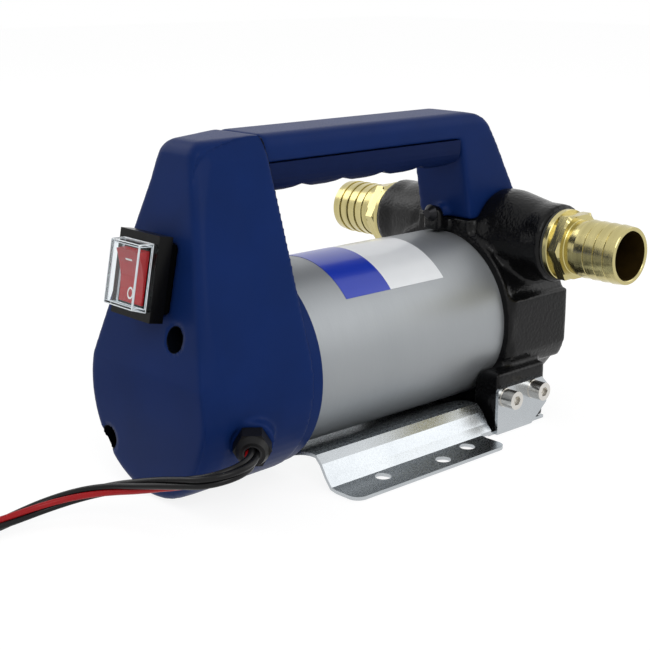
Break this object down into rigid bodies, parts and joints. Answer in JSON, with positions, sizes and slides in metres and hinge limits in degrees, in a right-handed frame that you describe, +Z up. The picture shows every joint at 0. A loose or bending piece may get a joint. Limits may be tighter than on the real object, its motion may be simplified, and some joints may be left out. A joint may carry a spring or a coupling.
{
  "type": "self-priming diesel transfer pump",
  "caption": "Portable vane pump on a direct-current motor, with a carrying handle, two hose tails, a pressed base plate, a rocker switch and battery leads with clips.",
  "frame": {"origin": "on the underside of the base plate, straight below the joint between the motor tube and the pump head", "axes": "+X along the motor axis towards the pump head, +Y towards the outlet hose tail, +Z up"},
  "size_m": [0.4069, 0.2527, 0.1435],
  "materials": {
    "steel_tube": "satin silver lacquer",
    "label_film": "printed film without text",
    "ferrite": "dark sintered",
    "cast_aluminium": "cast",
    "bearing_steel": "ground",
    "phenolic": "laminate",
    "carbon": "pressed carbon",
    "shaft_steel": "ground",
    "core_steel": "stacked laminations",
    "copper": "enamelled copper",
    "zinc_steel": "bright zinc plate",
    "black_iron": "semi-gloss black paint over iron casting",
    "seal_rubber": "matte",
    "sintered_steel": "sintered",
    "vane_plastic": "acetal",
    "brass": "machined",
    "blue_plastic": "fine grained",
    "black_plastic": "matte",
    "red_plastic": "smooth",
    "clear_plastic": "clear soft hood",
    "black_pvc": "smooth flexible insulation",
    "red_pvc": "smooth flexible insulation",
    "red_steel": "dipped",
    "black_steel": "dipped"
  },
  "bodies": {
    "housing": {"motor_tube": "steel_tube", "label": "label_film", "magnets": "ferrite", "end_bell": "cast_aluminium", "rear_bearing": "bearing_steel", "front_bearing": "bearing_steel", "brush_card": "phenolic", "brushes": "carbon", "through_bolts": "zinc_steel", "pump_head": "black_iron", "shaft_seal": "seal_rubber", "front_lid": "black_iron", "lid_seal": "seal_rubber", "lid_screws": "zinc_steel", "relief_spring": "bearing_steel", "relief_plug": "brass", "inlet_tail": "brass", "outlet_tail": "brass", "port_gaskets": "seal_rubber", "inlet_strainer": "bearing_steel", "base_plate": "zinc_steel", "ear_screws": "zinc_steel", "ear_washers": "zinc_steel", "handle_shell": "blue_plastic", "handle_grip": "blue_plastic", "handle_screws": "black_steel", "rear_cover": "blue_plastic", "cover_ring": "blue_plastic", "cover_screws": "zinc_steel", "switch_frame": "black_plastic", "switch_hood": "clear_plastic", "switch_tabs": "brass", "gland_body": "black_plastic", "gland_nut": "black_plastic", "gland_seal": "seal_rubber", "cable": "black_pvc", "cable_coil": "black_pvc", "cable_tie": "black_plastic", "lead_red": "red_pvc", "lead_black": "black_pvc", "clip_red_lower": "red_steel", "clip_black_lower": "black_steel", "clip_pins": "zinc_steel", "clip_spring_red": "bearing_steel", "clip_spring_black": "bearing_steel"},
    "rotor": {"armature_shaft": "shaft_steel", "armature_core": "core_steel", "armature_winding": "copper", "commutator": "copper", "pump_rotor": "sintered_steel", "drive_key": "shaft_steel"},
    "vane_1": {"vane_1": "vane_plastic"},
    "vane_2": {"vane_2": "vane_plastic"},
    "vane_3": {"vane_3": "vane_plastic"},
    "vane_4": {"vane_4": "vane_plastic"},
    "vane_5": {"vane_5": "vane_plastic"},
    "rocker": {"switch_rocker": "red_plastic"},
    "poppet": {"relief_poppet": "brass"},
    "clip_red_jaw": {"clip_red_upper": "red_steel"},
    "clip_black_jaw": {"clip_black_upper": "black_steel"}
  },
  "joints": [
    {"name": "rotor_spin", "type": "hinge", "parent": "housing", "child": "rotor", "pos_m": [0, 0, 0.047], "axis": [1, 0, 0], "continuous": true},
    {"name": "vane_1_slide", "type": "slide", "parent": "rotor", "child": "vane_1", "axis": [0, 0.7071, 0.7071], "range_m": [-0.0052, 0]},
    {"name": "vane_2_slide", "type": "slide", "parent": "rotor", "child": "vane_2", "axis": [0, -0.454, 0.891], "range_m": [-0.00165, 0]},
    {"name": "vane_3_slide", "type": "slide", "parent": "rotor", "child": "vane_3", "axis": [0, 0.9877, 0.1564], "range_m": [0, 0.0025]},
    {"name": "vane_4_slide", "type": "slide", "parent": "rotor", "child": "vane_4", "axis": [0, 0.1564, 0.9877], "range_m": [0, 0.00025]},
    {"name": "vane_5_slide", "type": "slide", "parent": "rotor", "child": "vane_5", "axis": [0, -0.891, 0.454], "range_m": [0, 0.00165]},
    {"name": "rocker_tilt", "type": "hinge", "parent": "housing", "child": "rocker", "pos_m": [-0.17207, 0, 0.09182], "axis": [0, 1, 0], "range_deg": [0, 22]},
    {"name": "relief_lift", "type": "slide", "parent": "housing", "child": "poppet", "axis": [1, 0, 0], "range_m": [0, 0.004], "stiffness_N_per_m": 3000, "springref_m": -0.004, "deforming": ["relief_spring"]},
    {"name": "clip_red_open", "type": "hinge", "parent": "housing", "child": "clip_red_jaw", "pos_m": [-0.264, 0.124, 0.0125], "axis": [1, 0, 0], "range_deg": [0, 20], "stiffness_Nm_per_rad": 0.8, "springref_deg": -28.65, "deforming": ["clip_spring_red"]},
    {"name": "clip_black_open", "type": "hinge", "parent": "housing", "child": "clip_black_jaw", "pos_m": [-0.24, 0.124, 0.0125], "axis": [1, 0, 0], "range_deg": [0, 20], "stiffness_Nm_per_rad": 0.8, "springref_deg": -28.65, "deforming": ["clip_spring_black"]}
  ]
}
